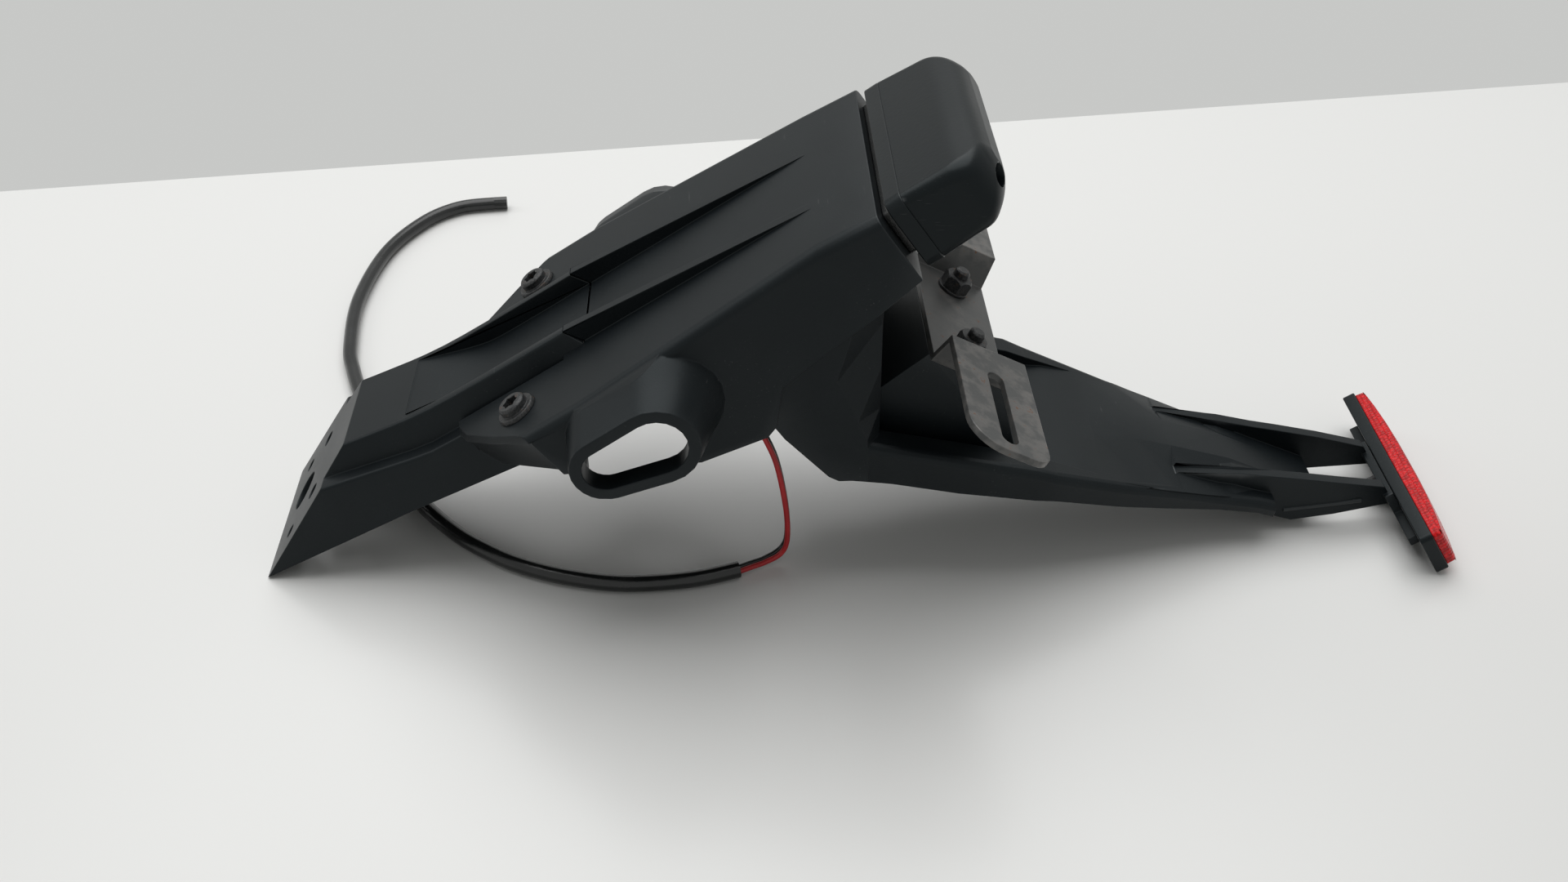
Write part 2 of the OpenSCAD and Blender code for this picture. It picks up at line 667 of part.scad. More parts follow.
screw_flange_t = 1.6;
screw_head_h = 4.6;
screw_l = 16;
module carrier_screws() color(zinc) placed() both_sides() on_shoulder(screw_x, screw_y)
    difference() {
        union() {
            cylinder(d1 = screw_flange_d, d2 = screw_flange_d - 1, h = screw_flange_t);
            cylinder(d = screw_head_d, h = screw_head_h - 0.8);
            translate([0, 0, screw_head_h - 0.8])
                cylinder(d1 = screw_head_d, d2 = screw_head_d - 1.6, h = 0.8);
            translate([0, 0, 1 - screw_l]) cylinder(d = screw_d, h = screw_l);
            translate([0, 0, -screw_l]) cylinder(d1 = screw_d - 1.6, d2 = screw_d, h = 1);
        }
        translate([0, 0, screw_head_h - 2.6]) star(6.6, 3);
    }

clip_t = 1.5;
clip_z = wing_t + flange_t * cos(shoulder_slope);
module clip_nuts() color(zinc) placed() both_sides() on_shoulder(screw_x, screw_y)
    translate([0, 0, -clip_z]) difference() {
        union() {
            translate([-6, -4, -clip_t]) cube([12, 8, clip_t]);
            translate([0, 0, -clip_t - 4]) cylinder(d = 8.4, h = 4.5);
        }
        translate([0, 0, -clip_t - 5]) cylinder(d = screw_d, h = clip_t + 6);
    }

arm_plate = arm_wall * 1.1 * cos(shoulder_slope);
module arm_screws() color(zinc) placed() both_sides() on_shoulder(boss_x, boss_y)
    translate([0, 0, -boss_drop]) difference() {
        union() {
            translate([0, 0, -arm_plate - 3.6]) cylinder(d = 9.5, h = 3.6);
            translate([0, 0, -arm_plate]) cylinder(d = arm_screw_d, h = arm_plate + boss_drop - 4.5);
        }
        translate([0, 0, -arm_plate - 4]) star(5, 2.4);
    }

// Number plate lamp

lamp_x0 = lamp_seal_t + lamp_foot_t;
lamp_z = -lamp_h / 2;
lamp_taper = tan(4);
lamp_side_taper = tan(1);
lamp_lift = 0.5;
wire_gate_half = 9;
lamp_screw_y = 34;
lamp_screw_z = -19;
lamp_screw_d = 4;
lamp_screw_head = 7;
lamp_screw_deep = 17;
lamp_boss = 9;
lamp_seal_in = 4;

// Frame on the housing's rear end: x out of it along the lamp, z up its slope
module at_lamp() {
    translate([rear_x, 0, housing_top(rear_x)]) rotate([0, -rear_tilt, 0]) children();
}
module lamp_screw_hole(x, l) {
    translate([x, lamp_screw_y, lamp_screw_z]) rotate([0, 90, 0]) cylinder(d = lamp_screw_d, h = l);
}

module lamp_seal() color(rubber) placed() at_lamp() difference() {
    across(lamp_seal_t) polygon(round_rect(lamp_half - lamp_seal_in, lamp_seal_in - rear_depth, -lamp_seal_in, 2, 3));
    translate([-1, 0, 0]) across(lamp_seal_t + 2)
        polygon(round_rect(wire_gate_half, lamp_z - 6, lamp_z + 6, 4, 4));
    both_sides() lamp_screw_hole(-1, lamp_seal_t + 2);
}

module lamp_foot() color(plastic) placed() at_lamp() difference() {
    translate([lamp_seal_t, 0, 0]) across(lamp_foot_t)
        polygon(round_rect(lamp_half, -lamp_h, 0, 5, 5));
    translate([lamp_seal_t - 1, 0, lamp_z]) rotate([0, 90, 0]) cylinder(d = 7, h = lamp_foot_t + 2);
    both_sides() lamp_screw_hole(0, lamp_x0 + 5);
}

// Domed form of the lamp body, inset by a wall
// Rings: distance behind the foot, inset of the sides, of the underside and of the top, edge radius
lamp_rings = [[0, 0, 0, 0, 3.5], [12, 0, 0, 0, 4.5], [lamp_len - 10.8, 0, 0, 0, 5.5],
              [lamp_len - 6.3, 1.5, 2.6, 2.2, 6.5], [lamp_len - 3.3, 3.5, 5.6, 4.4, 6.5],
              [lamp_len - 1.1, 6, 9, 6.6, 4.4], [lamp_len, 9, 11.6, 8, 2.2]];
module lamp_form(inset) {
    last = len(lamp_rings) - (inset > 0 ? 2 : 1);
    loft([for (i = [0:last]) let (d = lamp_rings[i],
                                  x = i == 0 ? (inset > 0 ? -1 : 0) : d[0] - (i > 1 ? inset : 0))
        [for (p = round_rect(lamp_half - 0.8 - lamp_side_taper * x - d[1] - inset,
                             lamp_lift - lamp_h + d[2] + inset,
                             -0.3 - lamp_taper * x - d[3] - inset, max(0.4, d[4] - inset), 5))
            [lamp_x0 + x, p[0], p[1]]]]);
}

lens_half = 26;
lens_x = lamp_x0 + 5;
lens_l = 15;
module lens_gap(grow, z1) {
    translate([lens_x - grow, -lens_half - grow, -lamp_h - 5])
        cube([lens_l + 2 * grow, 2 * (lens_half + grow), z1 + 5]);
}

module lamp_body() color(plastic) placed() at_lamp() difference() {
    lamp_form(0);
    difference() {
        lamp_form(lamp_wall);
        both_sides() translate([lamp_x0 - 2, lamp_screw_y - lamp_boss / 2, lamp_screw_z - lamp_boss / 2])
            cube([lamp_len + 4, lamp_boss, lamp_boss]);
    }
    lens_gap(0.2, 12);
    both_sides() {
        lamp_screw_hole(0, lamp_x0 + lamp_len);
        translate([lamp_x0 + lamp_len - lamp_screw_deep, lamp_screw_y, lamp_screw_z])
            across(lamp_screw_deep + 5) polygon(ring_of(lamp_screw_head / 2 + hole_play, 12));
    }
}

lens_rim = 1.5;
module lamp_lens() color(red) placed() at_lamp() {
    intersection() {
        difference() { lamp_form(0.2); lamp_form(lamp_wall + lens_rim); }
        lens_gap(0, 12);
    }
    intersection() {
        difference() { lamp_form(lamp_wall); lamp_form(lamp_wall + lens_rim); }
        lens_gap(2, 12);
    }
}

mirror_t = 0.8;
module lamp_mirror() color(zinc) placed() at_lamp() intersection() {
    difference() { lamp_form(lamp_wall); lamp_form(lamp_wall + mirror_t); }
    translate([lamp_x0 + 3, -26, -10]) cube([lamp_len - 9, 52, 12]);
}

socket_d = 12;
socket_l = 8;
bulb_d = 7.6;
module lamp_socket() color(zinc) placed() at_lamp() translate([lamp_x0, 0, lamp_z])
    rotate([0, 90, 0]) difference() {
        cylinder(d = socket_d, h = socket_l);
        translate([0, 0, 2]) cylinder(d = bulb_d, h = socket_l);
    }
module lamp_bulb() color(zinc) placed() at_lamp() translate([lamp_x0 + 2, 0, lamp_z])
    rotate([0, 90, 0]) rotate_extrude()
        polygon([[0, 0], [bulb_d / 2, 0], [bulb_d / 2, 7], [4.3, 9], [4.6, 11.5], [4.2, 14],
                 [3, 16], [1.5, 17], [0, 17.3]]);

module lamp_screws() color(zinc) placed() at_lamp() both_sides() difference() {
    union() {
        translate([lamp_x0 + lamp_len - lamp_screw_deep, lamp_screw_y, lamp_screw_z])
            rotate([0, 90, 0]) cylinder(d = lamp_screw_head, h = 3.2);
        lamp_screw_hole(-housing_wall - 4, lamp_x0 + lamp_len - lamp_screw_deep + housing_wall + 5);
    }
    translate([lamp_x0 + lamp_len - lamp_screw_deep + 1.4, lamp_screw_y, lamp_screw_z])
        rotate([0, 90, 0]) star(4.2, 3);
}

// Plate bracket

fold_shift = strip_t * 0.685;
stud_grip = 9;
module strip_section() {
    m = strip_mid_half;
    g = strip_fold_half;
    e = strip_half;
    polygon([[-e, strip_rise], [-g - fold_shift, strip_rise], [-m - fold_shift, 0], [m + fold_shift, 0],
             [g + fold_shift, strip_rise], [e, strip_rise], [e, strip_rise + strip_t],
             [g, strip_rise + strip_t], [m, strip_t], [-m, strip_t], [-g, strip_rise + strip_t],
             [-e, strip_rise + strip_t]]);
}
module strip_plan() {
    big = strip_corner_r;
    small = strip_small_r;
    translate([0, 0, -5]) linear_extrude(height = 40) polygon(concat(
        [for (i = [0:8]) let (a = 180 - 90 * i / 8)
            [big + big * cos(a), strip_half - big + big * sin(a)]],
        [for (i = [0:4]) let (a = 90 - 90 * i / 4)
            [strip_w - small + small * cos(a), strip_half - small + small * sin(a)]],
        [for (i = [0:4]) let (a = -90 * i / 4)
            [strip_w - small + small * cos(a), small - strip_half + small * sin(a)]],
        [for (i = [0:8]) let (a = -90 - 90 * i / 8)
            [big + big * cos(a), big - strip_half + big * sin(a)]]));
}
module plate_slot() {
    for (end = [-1, 1]) translate([strip_w / 2, slot_y + end * (slot_l - slot_w) / 2, strip_rise - 1])
        cylinder(d = slot_w, h = strip_t + 2);
    translate([(strip_w - slot_w) / 2, slot_y - (slot_l - slot_w) / 2, strip_rise - 1])
        cube([slot_w, slot_l - slot_w, strip_t + 2]);
}
module plate_bracket() color(steel) placed() at_strip() difference() {
    intersection() { across(strip_w) strip_section(); strip_plan(); }
    both_sides() {
        plate_slot();
        translate([strip_w / 2, stud_y, -1]) cylinder(d = stud_d + 2 * hole_play, h = strip_t + 2);
    }
}

washer_d = 12;
washer_t = 1.2;
stud_out = 3;
module at_studs() {
    placed() at_strip() both_sides() translate([strip_w / 2, stud_y, 0]) children();
}
module bracket_studs() color(zinc) at_studs() {
    translate([0, 0, -stud_grip]) cylinder(d = stud_d, h = stud_grip + strip_t + washer_t + nut_t + stud_out - 0.8);
    translate([0, 0, strip_t + washer_t + nut_t + stud_out - 0.8])
        cylinder(d1 = stud_d, d2 = stud_d - 1.6, h = 0.8);
}
module bracket_washers() color(zinc) at_studs() translate([0, 0, strip_t]) difference() {
    cylinder(d = washer_d, h = washer_t);
    translate([0, 0, -1]) cylinder(d = stud_d + hole_play, h = washer_t + 2);
}
module bracket_nuts() color(zinc) at_studs() translate([0, 0, strip_t + washer_t]) difference() {
    intersection() {
        rotate([0, 0, 30]) cylinder(d = nut_af / cos(30), h = nut_t, $fn = 6);
        cylinder(d1 = nut_af / cos(30) + 5.4, d2 = nut_af, h = nut_t);
    }
    translate([0, 0, -1]) cylinder(d = stud_d, h = nut_t + 2);
}

// Reflector

reflector_nut_af = 8;
reflector_nut_t = 4;
module reflector_base() color(plastic) placed() at_reflector() {
    across(reflector_t) polygon(round_rect(reflector_l / 2, 0, reflector_h, 2, 3));
    translate([-bar_t - reflector_nut_t - 2.5, 0, reflector_stud_z]) rotate([0, 90, 0])
        cylinder(d = reflector_stud_d, h = bar_t + reflector_nut_t + 3.5);
}
// Lens: how far out each ring lies, its inset at the ends and along its long edges
lens_rings = [[0, 0, 0], [lens_proud - 0.8, 0.2, 0.2], [lens_proud, 1.2, 1], [lens_proud + lens_dome * 0.45, 10, 1.3],
              [lens_proud + lens_dome * 0.8, 21, 1.8], [lens_proud + lens_dome, 34, lens_dome_in]];
module reflector_lens() color(red) placed() at_reflector() loft([
    for (d = lens_rings)
        [for (p = round_rect(reflector_l / 2 - lens_inset - d[1], lens_inset + d[2],
                             reflector_h - lens_inset - d[2], 1.8, 3))
            [reflector_t + d[0], p[0], p[1]]]]);
module reflector_nut() color(zinc) placed() at_reflector()
    translate([-bar_t - reflector_nut_t, 0, reflector_stud_z]) rotate([0, 90, 0]) difference() {
        cylinder(d = reflector_nut_af / cos(30), h = reflector_nut_t, $fn = 6);
        translate([0, 0, -1]) cylinder(d = reflector_stud_d, h = reflector_nut_t + 2);
    }

// Wires and cable

grommet_y = -30;
grommet_z = 80;
grommet_d = 9;
grommet_rim = 1.4;
wire_gap = 3;
module wire_grommet() color(rubber) placed() translate([arm_front_x, grommet_y, grommet_z])
    rotate([0, 90, 0]) difference() {
        union() {
            translate([0, 0, -grommet_rim]) cylinder(d = grommet_d + 3, h = grommet_rim);
            cylinder(d = grommet_d, h = arm_wall * 1.1);
            translate([0, 0, arm_wall * 1.1]) cylinder(d = grommet_d + 2, h = grommet_rim);
        }
        for (side = [-1, 1]) translate([0, side * wire_gap / 2, -grommet_rim - 1])
            cylinder(d = wire_d, h = arm_wall + 2 * grommet_rim + 3, $fn = 8);
    }

// Tube swept through points, with a ring of n sides at each; ref is never along the path
module tube(points, r, n, ref) {
    last = len(points) - 1;
    loft([for (i = [0:last])
        let (g = points[min(last, i + 1)] - points[max(0, i - 1)], t = g / norm(g),
             u0 = ref - (ref * t) * t, u = u0 / norm(u0), v = cross(t, u))
        [for (j = [0:n - 1]) points[i] + r * (cos(360 * j / n) * u + sin(360 * j / n) * v)]]);
}

// Smooth curve through points, k steps between two of them
function curve(p, k) = let (m = len(p) - 1) concat(
    [for (i = [0:m - 1], j = [0:k - 1]) let (a = p[max(0, i - 1)], b = p[i], c = p[i + 1],
        d = p[min(m, i + 2)], t = j / k)
        (2 * b + (c - a) * t + (2 * a - 5 * b + 4 * c - d) * t * t
         + (3 * b - a - 3 * c + d) * t * t * t) / 2],
    [p[m]]);

cable_z = sheath_d / 2;
sheath_points = [[178, -38, cable_z], [160, -43, cable_z], [136, -44.5, cable_z], [115, -40.5, cable_z],
    [96, -33, cable_z], [82, -24, cable_z], [69, -13, cable_z], [53, 6, cable_z], [40, 28, cable_z],
    [27, 55, cable_z], [17, 80, cable_z], [10, 100, cable_z], [5, 120, cable_z], [2, 160, cable_z],
    [8, 204, cable_z], [22, 234, cable_z], [38, 249, cable_z], [56, 253, cable_z]];
cable_tip = [62.5, 253.5, cable_z];
wire_path = [[198.5, 0, 80], [189, 0, 80], [185, 0, 77.5], [184.3, 0, 72.5], [187.5, 0, 62], [192.5, 0, 48],
             [196, 0, 27], [196.5, 0, 12], [194, 0, 5], [188, -3, 3.2], [183, -5.5, 3.2], [178, -8, 3.2]];
// Path of one wire, on its side of the middle
function wire_points(side) = [for (i = [0:len(wire_path) - 1]) let (p = wire_path[i])
    [p[0], grommet_y + p[1] + side * (i < 9 ? wire_gap / 2 : 1.2), p[2]]];

module red_wire() color(red) placed() tube(wire_points(-1), wire_d / 2, 8, [0, 1, 0]);
module black_wire() color(rubber) placed() tube(wire_points(1), wire_d / 2, 8, [0, 1, 0]);
module cable_sheath() color(rubber) placed() tube(curve(sheath_points, 3), sheath_d / 2, 12, [0, 0, 1]);
module cable_end() color(rubber) placed()
    tube([sheath_points[len(sheath_points) - 1], cable_tip], sheath_d / 2, 12, [0, 0, 1]);

front_carrier();
rear_housing();
lower_arm();
carrier_screws();
clip_nuts();
arm_screws();
lamp_seal();
lamp_foot();
lamp_body();
lamp_lens();
lamp_mirror();
lamp_socket();
lamp_bulb();
lamp_screws();
plate_bracket();
bracket_studs();
bracket_nuts();
bracket_washers();
reflector_base();
reflector_lens();
reflector_nut();
wire_grommet();
red_wire();
black_wire();
cable_sheath();
cable_end();
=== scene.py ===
# %% [markdown]
# # Licence plate holder of a motorcycle
# This is the tail piece that hangs under a motorcycle's seat. A leaning flange bolts
# to the bike, two moulded parts run up to the plate lamp, and an arm with a steel strip
# holds the plate and the red reflector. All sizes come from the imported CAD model, so
# this script only dresses it: softer edges, finishes, light and a camera.

# %% Load the frame
import json
import math

import bpy
import bmesh
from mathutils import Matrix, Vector


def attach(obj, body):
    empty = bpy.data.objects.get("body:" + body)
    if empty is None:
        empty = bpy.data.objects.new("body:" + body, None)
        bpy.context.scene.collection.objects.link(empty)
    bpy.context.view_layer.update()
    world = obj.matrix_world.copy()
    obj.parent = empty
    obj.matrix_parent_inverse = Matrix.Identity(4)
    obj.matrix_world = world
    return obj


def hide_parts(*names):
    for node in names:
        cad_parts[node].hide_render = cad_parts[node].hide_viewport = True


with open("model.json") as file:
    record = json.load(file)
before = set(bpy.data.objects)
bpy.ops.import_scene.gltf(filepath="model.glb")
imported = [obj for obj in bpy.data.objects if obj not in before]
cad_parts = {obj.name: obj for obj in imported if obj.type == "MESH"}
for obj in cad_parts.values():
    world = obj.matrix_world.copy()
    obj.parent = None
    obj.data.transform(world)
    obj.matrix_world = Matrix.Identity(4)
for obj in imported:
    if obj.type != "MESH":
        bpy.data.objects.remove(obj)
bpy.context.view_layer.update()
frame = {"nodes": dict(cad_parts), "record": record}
nodes = frame["nodes"]

# %% [markdown]
# ## Camera
# The photo was taken by hand from above the table, with a lens near 37 mm. The object's
# long axis runs almost straight across the picture. The camera stands where the
# photographer stood, and it comes first.

# %% Camera
millimetre = 0.001
camera_data = bpy.data.cameras.new("photo_camera")
camera_data.lens = 37.5
camera_data.sensor_width = 36
camera_spot = (-48.30, -503.2, 411.6)
camera = bpy.data.objects.new("photo_camera", camera_data)
bpy.context.scene.collection.objects.link(camera)
camera.location = Vector(camera_spot) * millimetre
look_down, look_right, roll = math.radians(36.8), math.radians(2.17), math.radians(-0.09)
camera.rotation_euler = (math.pi / 2 - look_down, roll, -look_right)
bpy.context.scene.camera = camera
print("camera at", [round(v, 3) for v in camera.location])

# %% [markdown]
# ## Cable and wires
# A red and a black wire leave a rubber grommet in the arm, drop to the table and slip
# into a black sheath. The sheath lies on the table in one lazy loop round the flange and
# ends in a darker cut end. A curve with a round bevel is the natural way to make them,
# because its own line is the cable's middle line. The points are the ones in the CAD source.
# Each point carries the cable's radius, so the curve's own box fits the cable tightly.

# %% Route of the cable
middle_x = 225.1029
sheath_radius, wire_radius, grommet_y = 3.2, 1.05, -30
sheath_stops = [(178, -38), (160, -43), (136, -44.5), (115, -40.5), (96, -33), (82, -24),
                (69, -13), (53, 6), (40, 28), (27, 55), (17, 80), (10, 100), (5, 120),
                (2, 160), (8, 204), (22, 234), (38, 249), (56, 253)]
wire_stops = [(198.5, 0, 80), (189, 0, 80), (185, 0, 77.5), (184.3, 0, 72.5), (187.5, 0, 62),
              (192.5, 0, 48), (196, 0, 27), (196.5, 0, 12), (194, 0, 5), (188, -3, 3.2),
              (183, -5.5, 3.2), (178, -8, 3.2)]


def smooth_line(stops, steps):
    """Points on a smooth curve through the stops, as the CAD source lays it."""
    line = []
    last = len(stops) - 1
    for i in range(last):
        a, b, c, d = (Vector(stops[k]) for k in (max(0, i - 1), i, i + 1, min(last, i + 2)))
        for j in range(steps):
            t = j / steps
            line.append((2 * b + (c - a) * t + (2 * a - 5 * b + 4 * c - d) * t * t
                         + (3 * b - a - 3 * c + d) * t * t * t) / 2)
    line.append(Vector(stops[-1]))
    return line


def in_frame(point):
    """A point of the CAD source, in millimetres, as a point of the frame in metres."""
    return (point - Vector((middle_x, 0, 0))) * millimetre


sheath_line = [in_frame(p) for p in smooth_line([(x, y, sheath_radius) for x, y in sheath_stops], 8)]
wire_lines = {}
for colour, side in (("red", -1), ("black", 1)):
    stops = [(x, grommet_y + y + side * (1.5 if i < 9 else 1.2), z)
             for i, (x, y, z) in enumerate(wire_stops)]
    wire_lines[colour] = [in_frame(p) for p in smooth_line(stops, 5)]
print("sheath points", len(sheath_line), "wire points", len(wire_lines["red"]))


# %% Curves for the cable
def line_length(line):
    return sum((b - a).length for a, b in zip(line, line[1:]))


def cable_piece(name, line, radius, node):
    """A round curve along a line, standing for one cord node of the CAD."""
    curve = bpy.data.curves.new(name, "CURVE")
    curve.dimensions = "3D"
    curve.bevel_depth = 1
    curve.bevel_resolution = 4
    curve.use_fill_caps = True
    spline = curve.splines.new("POLY")
    spline.points.add(len(line) - 1)
    for point, place in zip(spline.points, line):
        point.co, point.radius = (*place, 1), radius * millimetre
    piece = bpy.data.objects.new(name, curve)
    bpy.context.scene.collection.objects.link(piece)
    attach(piece, "root")
    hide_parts(node)
    return piece


sheath = cable_piece("cable_sheath_tube", sheath_line, sheath_radius, "cable_sheath")
red_wire = cable_piece("red_wire_line", wire_lines["red"], wire_radius, "red_wire")
black_wire = cable_piece("black_wire_line", wire_lines["black"], wire_radius, "black_wire")
line_length(sheath_line)
for wire, colour in ((red_wire, "red"), (black_wire, "black")):
    line_length(wire_lines[colour])
print("sheath", round(line_length(sheath_line), 3), "m, wire",
      round(line_length(wire_lines["red"]), 3), "m")

# %% [markdown]
# ## Sums on shader sockets
# A finish is mostly arithmetic: a mask times a strength, one minus a mask, a colour
# between two others. This small class wraps the output of a shader node, so that such
# sums are written as sums and the Math nodes are made on the way.


# %% The socket class
class Wire:
    """The output of a shader node, or the start of a node tree."""

    def __init__(self, tree, socket=None):
        self.tree, self.socket = tree, socket

    def node(self, kind, settings=(), inputs=(), output=0):
        """Adds a node: settings first, then the values or links of its sockets."""
        made = self.tree.nodes.new(kind)
        for name, value in dict(settings).items():
            setattr(made, name, value)
        for name, value in dict(inputs).items():
            if isinstance(value, Wire):
                self.tree.links.new(value.socket, made.inputs[name])
            else:
                made.inputs[name].default_value = value
        return Wire(self.tree, made.outputs[output])

    def sum(self, operation, a, b=0.0):
        return self.node("ShaderNodeMath", {"operation": operation}, {0: a, 1: b})

    def __add__(self, other): return self.sum("ADD", self, other)
    def __radd__(self, other): return self.sum("ADD", other, self)
    def __sub__(self, other): return self.sum("SUBTRACT", self, other)
    def __rsub__(self, other): return self.sum("SUBTRACT", other, self)
    def __mul__(self, other): return self.sum("MULTIPLY", self, other)
    def __rmul__(self, other): return self.sum("MULTIPLY", other, self)

    def blend(self, mask, one, other):
        """A colour that goes from one to the other as the mask goes from 0 to 1."""
        return self.node("ShaderNodeMix", {"data_type": "RGBA"}, {0: mask, 6: one, 7: other}, 2)

    def clip(self, low, high):
        """A mask that rises from 0 to 1 between two values."""
        return self.node("ShaderNodeMapRange", {"interpolation_type": "SMOOTHSTEP"},
                         {"Value": self, "From Min": low, "From Max": high})


def new_finish(name):
    """An empty material with its output and a shader, and the start of its tree."""
    material = bpy.data.materials.new(name)
    material.use_nodes = True
    tree = material.node_tree
    tree.nodes.clear()
    shader = tree.nodes.new("ShaderNodeBsdfPrincipled")
    output = tree.nodes.new("ShaderNodeOutputMaterial")
    tree.links.new(shader.outputs[0], output.inputs[0])
    return material, Wire(tree), shader


def feed(start, shader, **values):
    """Sets or links sockets of the shader, named with underscores for spaces."""
    for name, value in values.items():
        socket = shader.inputs[name.replace("_", " ")]
        if isinstance(value, Wire):
            start.tree.links.new(value.socket, socket)
        else:
            socket.default_value = value


def place_on(start):
    """The place on the object itself, so that a finish stays with its piece."""
    return start.node("ShaderNodeTexCoord", output="Object")


def speckle(start, where, size, detail=2.0, rough=0.5):
    """Noise whose lumps are about this many millimetres across."""
    return start.node("ShaderNodeTexNoise", {}, {"Vector": where, "Scale": 1 / (size * millimetre),
                                                 "Detail": detail, "Roughness": rough})


def stretched(start, where, along, turn=(0, 0, 0)):
    """The place, squeezed along the axes so that noise on it draws out into streaks."""
    return start.node("ShaderNodeMapping", {}, {"Vector": where, "Rotation": turn, "Scale": along})


def edge_wear_and_highlight(start, low, high):
    """A mask of the edges that stick out, where hands and weather reach first. On the plastics it also
    places a painted highlight line.
    """
    return start.node("ShaderNodeNewGeometry", output="Pointiness").clip(low, high)


def relief(start, height, depth):
    """A normal from a height in the range 0 to 1, depth in millimetres."""
    return start.node("ShaderNodeBump", {}, {"Height": height, "Distance": depth * millimetre,
                                             "Strength": 1.0})


print("socket class ready")

# %% [markdown]
# ## Grained plastic
# The carrier, the housing and the arm are moulded in black plastic with a fine satin
# grain. Grain like this comes from the etched mould, so a very fine bump and an uneven
# roughness give it. Years on the road left dust in the corners, paler worn edges and a
# few hair scratches. The paler edges are also a painted highlight, a thin line of light.


# %% Grained plastic
def grained_plastic():
    material, start, shader = new_finish("grained_plastic")
    where = place_on(start)
    grain = speckle(start, where, 0.5, 3.0, 0.6)
    cloud = speckle(start, where, 28, 3.0)
    edge = edge_wear_and_highlight(start, 0.53, 0.64)
    streaks = stretched(start, where, (1, 0.06, 1), (0.3, 0.2, 0.9))
    hairs = speckle(start, streaks, 0.8, 1.0).clip(0.735, 0.76) * cloud.clip(0.5, 0.62)
    dust = speckle(start, where, 0.9, 4.0, 0.7).clip(0.63, 0.74) * cloud.clip(0.42, 0.6)
    colour = start.blend(cloud.clip(0.35, 0.7), (0.0040, 0.0056, 0.0067, 1),
                         (0.0062, 0.0082, 0.0094, 1))
    # Paler edges: partly wear, partly a painted highlight along each edge.
    colour = start.blend(edge * 0.6, colour, (0.080, 0.086, 0.090, 1))
    colour = start.blend(dust * 0.22, colour, (0.12, 0.12, 0.115, 1))
    colour = start.blend(hairs * 0.25, colour, (0.10, 0.10, 0.10, 1))
    feed(start, shader, Base_Color=colour, Roughness=0.34 + 0.10 * cloud + 0.06 * grain,
         Normal=relief(start, grain, 0.045), Coat_Weight=edge * cloud.clip(0.2, 0.6) * 0.8,
         IOR=1.30, Specular_Tint=(0.88, 0.97, 1.0, 1), Coat_Roughness=0.22)
    return material


# %% [markdown]
# ## Smooth plastic
# The lamp and the back of the reflector are smoother than the rest, with sharper
# highlights on their rounded edges, and a pale highlight line is painted along those
# edges. Fine scuffs break the highlights.


# %% Smooth plastic
def smooth_plastic():
    material, start, shader = new_finish("smooth_plastic")
    where = place_on(start)
    orange_peel = speckle(start, where, 1.6, 2.0)
    cloud = speckle(start, where, 18, 2.0)
    streaks = stretched(start, where, (0.10, 1, 1), (0.1, 0.6, 0.4))
    scuffs = speckle(start, streaks, 0.5, 2.0).clip(0.66, 0.74)
    edge = edge_wear_and_highlight(start, 0.54, 0.66)
    # Paler edges: partly wear, partly a painted highlight along each edge.
    colour = start.blend(edge * 0.5, (0.0034, 0.0050, 0.0060, 1), (0.055, 0.060, 0.063, 1))
    colour = start.blend(scuffs * cloud.clip(0.4, 0.6) * 0.18, colour, (0.12, 0.12, 0.12, 1))
    feed(start, shader, Base_Color=colour, Roughness=0.27 + 0.12 * cloud + 0.10 * scuffs,
         Normal=relief(start, orange_peel, 0.03), Coat_Weight=edge * 0.8,
         IOR=1.29, Specular_Tint=(0.88, 0.98, 1.0, 1), Coat_Roughness=0.15)
    return material


# %% [markdown]
# ## Painted steel strip
# The plate bracket is a bent steel strip in dark grey paint. Stones and the plate itself
# have worn its edges to bright metal, and rust creeps from the chips near the right edge
# and the foot of the slots. Masks from noise put bare metal on the edges and rust next
# to it.


# %% Painted steel
def painted_steel():
    material, start, shader = new_finish("painted_steel")
    where = place_on(start)
    fine = speckle(start, where, 1.3, 4.0, 0.65)
    blotch = speckle(start, where, 7, 3.0, 0.6)
    edge = edge_wear_and_highlight(start, 0.52, 0.60)
    bare = edge * blotch.clip(0.40, 0.60) * 0.7
    rust = (fine.clip(0.57, 0.66) * blotch.clip(0.55, 0.66)
            + edge * fine.clip(0.5, 0.62) * blotch.clip(0.56, 0.66))
    paint = start.blend(blotch.clip(0.3, 0.7), (0.0490, 0.0510, 0.0505, 1), (0.0580, 0.0577, 0.0560, 1))
    metal = start.blend(bare, paint, (0.30, 0.285, 0.27, 1))
    colour = start.blend((rust * 0.8).clip(0.0, 1.0), metal, (0.150, 0.064, 0.030, 1))
    feed(start, shader, Base_Color=colour, Metallic=bare * (1 - rust) * 0.9,
         Roughness=0.33 + 0.10 * fine + 0.25 * rust, Normal=relief(start, fine + rust * 0.6, 0.04))
    return material


# %% [markdown]
# ## Zinc plated steel
# Screws, nuts, studs and washers were bright once. Dirt dulls them, and light rust sits
# where water stays, so colour and roughness change in small blotches.


